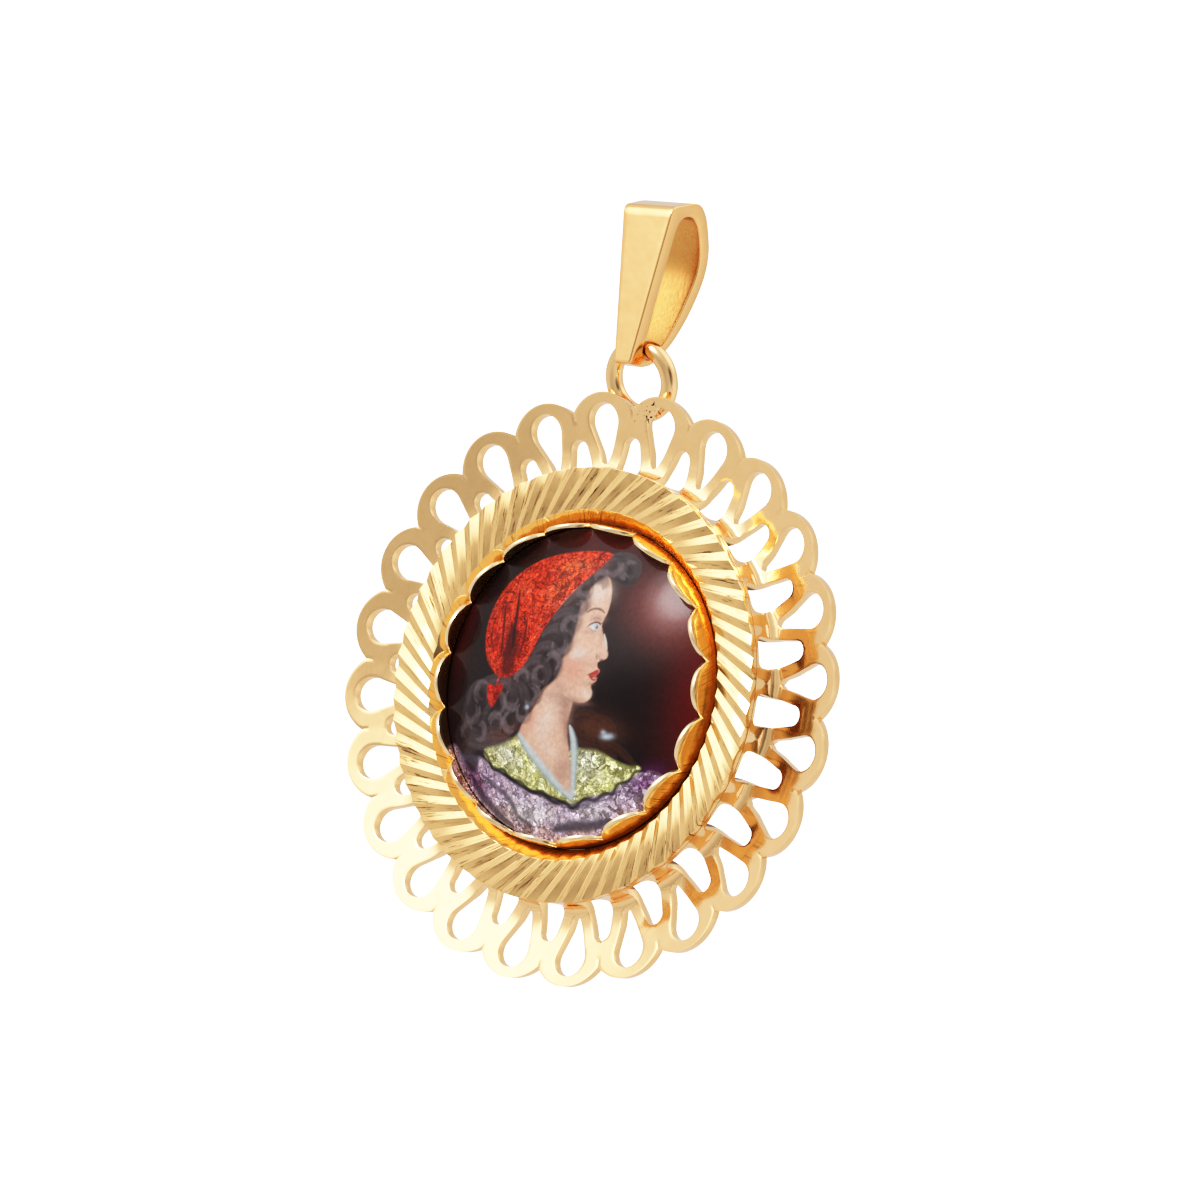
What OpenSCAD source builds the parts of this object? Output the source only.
// Round openwork pendant with a fluted ring, a scalloped bezel, a domed enamel and a swinging bail.
// Units are millimetres. X points right, Z up, and the enamel looks toward -Y.
// The origin is the highest point inside the bail, where the chain lies.
// The drop's own pieces are made lying on their backs, face up, and then stood upright.

/* [Openwork frame] */
// Number of petals round the frame
petal_count = 24; // [24]
// Radius of the circle on which the petal arcs are centred
petal_centre_r = 11.58; // [11.5:0.02:11.7]
// Radius of each petal's outer arc
petal_r = 1.94; // [1.9:0.01:2]
// Thickness of the pressed sheet
sheet_t = 0.5; // [0.45:0.05:0.55]
// Radius of the circle at which the dish is deepest
dish_low_r = 10.6; // [10.5:0.05:10.7]
// Depth of the dish below the cusps between the petals
dish_low_h = 0.46; // [0.44:0.01:0.48]
// Radius of the arc that the dish follows in cross section
dish_arc_r = 3; // [2.9:0.05:3.1]
// Slope of the dish outside that arc, in degrees
dish_tilt = 15; // [14:0.5:16]
// Outside radius of the upright collar
collar_r = 9.86; // [9.84:0.01:9.88]
// Thickness of the collar's wall
collar_t = 0.45; // [0.4:0.01:0.46]
// Height of the collar's top edge above the cusps
collar_top_h = 0.86; // [0.85:0.01:0.87]

/* [Piercings] */
// Radius of the round outer end of a teardrop piercing
tear_head_r = 0.8; // [0.75:0.01:0.82]
// Distance of the round outer end's centre from the pendant's axis
tear_head_at = 12.25; // [12.22:0.01:12.28]
// Radius of the narrow inner end of a teardrop piercing
tear_tip_r = 0.24; // [0.22:0.01:0.26]
// Distance of the narrow inner end's centre from the pendant's axis
tear_tip_at = 10.54; // [10.5:0.01:10.6]
// Radius of the rounded outer end of a keyhole piercing
key_tip_r = 0.46; // [0.42:0.01:0.48]
// Distance of that end's centre from the pendant's axis
key_tip_at = 11.07; // [11.03:0.01:11.1]
// Width of a keyhole piercing where it meets the collar
key_foot_w = 1.42; // [1.36:0.01:1.46]
// Height of the arch that a keyhole piercing cuts into the collar
arch_top_h = 0.68; // [0.6:0.01:0.7]
// Radius of the arch's upper corners
arch_corner_r = 0.3; // [0.2:0.01:0.34]

/* [Hanging ring] */
// Radius of the ring's wire
ring_wire_r = 0.4; // [0.38:0.01:0.41]
// Radius from the ring's centre to the middle of the wire
ring_r = 1.55; // [1.52:0.01:1.6]
// Height of the ring's centre above the pendant's axis
ring_at_z = 14.15; // [14.1:0.01:14.2]
// Distance of the ring's centre behind the cusps
ring_back = 0.3; // [0.28:0.01:0.34]
// Lean of the ring, its top toward the front, in degrees
ring_lean = 20; // [18:0.5:22]

/* [Fluted ring] */
// Number of straight flutes
flute_count = 60; // [60]
// Distance at which every flute's line passes the pendant's axis
flute_miss = 5.6; // [5.5:0.05:5.7]
// Inside radius of the fluted face
face_in_r = 7.95; // [7.9:0.01:8]
// Height of the fluted face at its outer edge
face_out_h = 1.33; // [1.3:0.01:1.36]
// Height of the fluted face at its inner edge
face_in_h = 1.18; // [1.15:0.01:1.2]
// Depth of a flute at the outer edge
flute_out_d = 0.168; // [0.15:0.002:0.17]
// Depth of a flute at the inner edge
flute_in_d = 0.113; // [0.1:0.001:0.115]
// Steepness of a flute's sides, in degrees
flute_slope = 22.8; // [22.6:0.1:24]
// Turn of the first flute, clockwise from the top, in degrees
flute_start = 3.6; // [0:0.1:6]
// Inside radius of the slanting skirt at its foot
skirt_r = 7.4; // [7.38:0.01:7.42]

/* [Bezel cup] */
// Outside radius of the cup's band
band_r = 7.35; // [7.33:0.01:7.36]
// Thickness of the band
band_t = 0.2; // [0.18:0.01:0.2]
// Number of lobes along the band's edge
lobe_count = 18; // [18]
// Turn of the first lobe, clockwise from the top, in degrees
lobe_start = 5.5; // [0:0.5:20]
// Height of the lobes' tips
lobe_tip_h = 1.8; // [1.75:0.01:1.85]
// Height of the notches between the lobes
notch_h = 0.9; // [0.85:0.01:0.95]
// Inward lean of the lobes at their tips
lobe_lean = 0.14; // [0.1:0.01:0.18]
// Thickness of the closed back
back_t = 0.4; // [0.35:0.05:0.4]
// Height of the closed back's outer face, below the cusps
back_depth = 0.6; // [0.6:0.02:0.64]
// Radius of the cup's foot
foot_r = 7.8; // [7.7:0.02:7.8]

/* [Enamel] */
// Radius of the enamel plaque
enamel_r = 7.12; // [7.1:0.01:7.13]
// Height of the enamel's rim
enamel_rim_h = 0.8; // [0.75:0.01:0.85]
// Height of the dome's highest point
enamel_top_h = 2.3; // [2.2:0.02:2.4]

/* [Bail] */
// Height of the bail's lower end above the pendant's axis
bail_foot_z = 14.62; // [14.6:0.01:14.66]
// Half of the bail's width at its lower end
bail_foot_half = 0.44; // [0.42:0.01:0.45]
// Height at which the bail's front bends over
bail_bend_z = 21.55; // [21.4:0.05:21.6]
// Half of the bail's width at the bend
bail_bend_half = 1.36; // [1.3:0.02:1.4]
// Distance of the bail's front face in front of the cusps
bail_front = 1.45; // [1.42:0.01:1.48]
// Radius of the seat in which the ring's wire turns
bail_seat_r = 0.52; // [0.51:0.01:0.53]
// Distance from the middle of the wire to the line on which the drop swings
pivot_drop = 0.06; // [0.05:0.01:0.07]

/* [Hidden] */
$fn = 96;

gap = 0.02;
past = 0.5;
gold = [0.86, 0.66, 0.36];
pale_gold = [0.93, 0.78, 0.48];
deep_gold = [0.80, 0.56, 0.24];
maroon = [0.20, 0.05, 0.06];

petal_pitch = 360 / petal_count;
dish_arc_h = dish_arc_r - dish_low_h;
crest_r = petal_centre_r + petal_r;
collar_foot_h = -dish_low_h - sheet_t / 2;
dish_inner_angle = -26;
dish_steps = 6;
dish_run = 3;

flute_in_y = sqrt(pow(face_in_r, 2) - pow(flute_miss, 2));
flute_out_y = sqrt(pow(collar_r, 2) - pow(flute_miss, 2));
flute_run = flute_out_y - flute_in_y;
valley_in_h = face_in_h - flute_in_d;
valley_out_h = face_out_h - flute_out_d;
valley_rise = atan2(valley_out_h - valley_in_h, flute_run);
cutter_h = 0.3;
skirt_foot_h = 0.1;
skirt_bend_h = 0.3;
skirt_out_r = 8.2;
plate_under_h = collar_top_h + gap;

lobe_pitch = 360 / lobe_count;
lobe_half = band_r * sin(lobe_pitch / 2);
lobe_rise = lobe_tip_h - notch_h;
lobe_arc_r = (pow(lobe_half, 2) + pow(lobe_rise, 2)) / (2 * lobe_rise);
lobe_arc_h = lobe_tip_h - lobe_arc_r;
floor_h = back_t - back_depth;
foot_top_h = skirt_foot_h - gap;

dome_rise = enamel_top_h - enamel_rim_h;
dome_r = (pow(enamel_r, 2) + pow(dome_rise, 2)) / (2 * dome_rise);

wire_top_y = ring_back - ring_r * sin(ring_lean);
wire_top_z = ring_at_z + ring_r * cos(ring_lean);
pivot_y = wire_top_y + pivot_drop * sin(ring_lean);
pivot_z = wire_top_z - pivot_drop * cos(ring_lean);
bail_spread = (bail_bend_half - bail_foot_half) / (bail_bend_z - bail_foot_z);
bail_inside_y = pivot_y - bail_seat_r;
curve_steps = 6;

// The bail's outline seen from the side, as [y, z] places on the leaf's outer face
BAIL_OUTSIDE = [
    [-bail_front, bail_bend_z],
    [-1.33, 21.84],
    [-1.05, 21.98],
    [0.3, 22.38],
    [1.02, 22.12],
    [1.62, 21.4],
    [2.16, 20.4],
    [2.31, 19.25],
    [2.02, 17.75],
    [1.55, 16.55],
    [1.08, 15.75],
    [0.35, 14.95],
    [-0.3, bail_foot_z + 0.04],
    [-0.75, bail_foot_z],
];
// The same for the leaf's inner face, from the seat up the back and down the front
BAIL_INSIDE = [
    [0.17, 15.2],
    [0.6, 15.8],
    [1.0, 16.6],
    [1.36, 17.8],
    [1.63, 19.2],
    [1.5, 20.2],
    [0.96, 21.15],
    [0.45, 21.6],
    [0.1, 21.68],
    [-0.3, 21.6],
    [-0.62, 21.3],
    [bail_inside_y, 20.9],
];
hang_y = BAIL_INSIDE[8][0];
hang_z = BAIL_INSIDE[8][1];

// A point at share t of the way from b to c on a smooth curve through a, b, c and d
function curve_point(a, b, c, d, t) =
    0.5 * (2 * b + (c - a) * t + (2 * a - 5 * b + 4 * c - d) * t * t + (3 * b - a - 3 * c + d) * t * t * t);

// A smooth open curve through all the given points
function smooth(pts) = let (last = len(pts) - 1) [
    for (i = [0 : last - 1], s = [0 : curve_steps - 1])
        curve_point(pts[max(i - 1, 0)], pts[i], pts[i + 1], pts[min(i + 2, last)], s / curve_steps),
    pts[last],
];

// Stands a lying piece upright, its face toward the front
module stand() {
    translate([0, -hang_y, -hang_z]) rotate([90, 0, 0]) children();
}

// Repeats a piece round the pendant's axis, clockwise from the top
module around(count, first = 0) {
    for (i = [0 : count - 1]) rotate(-first - i * 360 / count) children();
}

// A flat outline that tapers from one circle to another along Y
module taper(r1, at1, r2, at2) {
    lean = asin((r2 - r1) / (at2 - at1)) + 2;
    translate([0, at1]) circle(r1);
    translate([0, at2]) circle(r2);
    polygon([
        [r1 * cos(lean), at1 - r1 * sin(lean)],
        [r2 * cos(lean), at2 - r2 * sin(lean)],
        [-r2 * cos(lean), at2 - r2 * sin(lean)],
        [-r1 * cos(lean), at1 - r1 * sin(lean)],
    ]);
}

// A place on the dish's arc at an angle from its lowest place, a depth below its face
function dish_place(angle, depth) =
    [dish_low_r + (dish_arc_r + depth) * sin(angle), dish_arc_h - (dish_arc_r + depth) * cos(angle)];

// The angle of step i along the dish's arc
function dish_angle(i) = dish_inner_angle + i * (dish_tilt - dish_inner_angle) / dish_steps;

// The outer end of the dish's slope, past the crests
function dish_end(depth) = dish_place(dish_tilt, depth) + dish_run * [cos(dish_tilt), sin(dish_tilt)];

// The pressed sheet before it is pierced
module dish() {
    intersection() {
        rotate_extrude() intersection() {
            polygon(concat(
                [for (i = [0:dish_steps]) dish_place(dish_angle(i), 0)],
                [dish_end(0), dish_end(sheet_t)],
                [for (i = [dish_steps:-1:0]) dish_place(dish_angle(i), sheet_t)]
            ));
            translate([collar_r - collar_t, -2]) square([crest_r + past - collar_r, 3]);
        }
        translate([0, 0, -2]) linear_extrude(3) {
            circle(petal_centre_r);
            around(petal_count, petal_pitch / 2) translate([0, petal_centre_r]) circle(petal_r);
        }
    }
}

module collar() {
    translate([0, 0, collar_foot_h]) difference() {
        cylinder(h = collar_top_h - collar_foot_h, r = collar_r);
        translate([0, 0, -past]) cylinder(h = 3, r = collar_r - collar_t);
    }
}

// The arch of one keyhole piercing in the collar
module arch() {
    corner_x = key_foot_w / 2 - arch_corner_r;
    translate([0, collar_r + past, 0]) rotate([90, 0, 0]) linear_extrude(collar_t + 2 * past) {
        for (side = [-1, 1]) translate([side * corner_x, arch_top_h - arch_corner_r]) circle(arch_corner_r);
        translate([-corner_x, -2]) square([2 * corner_x, 2 + arch_top_h]);
        translate([-key_foot_w / 2, -2]) square([key_foot_w, 2 + arch_top_h - arch_corner_r]);
    }
}

// The part of one keyhole piercing that lies in the sheet
module keyhole() {
    translate([0, 0, -2]) linear_extrude(3) {
        translate([0, key_tip_at]) circle(key_tip_r);
        polygon([
            [-key_tip_r, key_tip_at], [key_tip_r, key_tip_at],
            [key_foot_w / 2, collar_r - 0.1], [-key_foot_w / 2, collar_r - 0.1],
        ]);
    }
}

module hanging_ring() {
    translate([0, ring_at_z, -ring_back]) rotate([ring_lean, 0, 0])
        rotate_extrude() translate([ring_r, 0]) circle(ring_wire_r);
}

module openwork_frame() {
    color(gold) stand() {
        difference() {
            union() {
                dish();
                collar();
            }
            around(petal_count, petal_pitch / 2)
                translate([0, 0, -2]) linear_extrude(3) taper(tear_tip_r, tear_tip_at, tear_head_r, tear_head_at);
            around(petal_count) keyhole();
            around(petal_count) arch();
        }
        hanging_ring();
    }
}

// One flute's cutter, along a line that passes the axis at a distance
module flute() {
    half = cutter_h / tan(flute_slope);
    translate([-flute_miss, (flute_in_y + flute_out_y) / 2, (valley_in_h + valley_out_h) / 2])
        rotate([90 + valley_rise, 0, 0]) linear_extrude(flute_run + 2 * past, center = true)
            polygon([[0, 0], [half, cutter_h], [-half, cutter_h]]);
}

module fluted_ring() {
    color(pale_gold) stand() difference() {
        rotate_extrude() polygon([
            [skirt_r, skirt_foot_h], [foot_r, skirt_foot_h], [skirt_out_r, plate_under_h],
            [collar_r, plate_under_h], [collar_r, face_out_h], [face_in_r, face_in_h],
            [skirt_r, skirt_bend_h],
        ]);
        around(flute_count, flute_start) flute();
    }
}

// The cup's band, lying, up to the given height
module band(top_h) {
    rotate_extrude() polygon([
        [band_r - band_t, floor_h], [band_r, floor_h], [band_r, notch_h],
        [band_r - lobe_lean * (top_h - notch_h) / lobe_rise, top_h],
        [band_r - band_t - lobe_lean * (top_h - notch_h) / lobe_rise, top_h],
        [band_r - band_t, notch_h],
    ]);
}

module bezel_cup() {
    color(deep_gold) stand() {
        translate([0, 0, -back_depth]) cylinder(h = back_t, r = foot_r);
        difference() {
            translate([0, 0, -back_depth]) cylinder(h = back_depth + foot_top_h, r = foot_r);
            translate([0, 0, floor_h - gap]) cylinder(h = 2, r = band_r - band_t);
        }
        band(notch_h);
        intersection() {
            band(lobe_tip_h + past);
            around(lobe_count, lobe_start) translate([0, band_r + past, lobe_arc_h])
                rotate([90, 0, 0]) cylinder(h = band_t + lobe_lean + 2 * past, r = lobe_arc_r);
        }
    }
}

module enamel() {
    color(maroon) stand() intersection() {
        translate([0, 0, floor_h + gap]) cylinder(h = enamel_top_h - floor_h, r = enamel_r);
        translate([0, 0, enamel_top_h - dome_r]) sphere(dome_r);
    }
}

module bail() {
    side_half = bail_bend_half + 1;
    color(gold) translate([0, -hang_y, -hang_z]) intersection() {
        translate([-side_half, 0, 0]) rotate([90, 0, 90]) linear_extrude(2 * side_half) difference() {
            polygon(concat([[-bail_front, bail_foot_z]], smooth(BAIL_OUTSIDE)));
            polygon(concat([[bail_inside_y, pivot_z], [pivot_y, pivot_z]], smooth(BAIL_INSIDE)));
            translate([pivot_y, pivot_z]) circle(bail_seat_r);
        }
        translate([0, 4, 0]) rotate([90, 0, 0]) linear_extrude(8) polygon([
            for (side = [-1, 1]) [side * bail_foot_half, bail_foot_z - 0.01],
            for (side = [1, -1]) [side * (bail_bend_half + bail_spread), bail_bend_z + 1],
        ]);
    }
}

openwork_frame();
fluted_ring();
bezel_cup();
enamel();
bail();
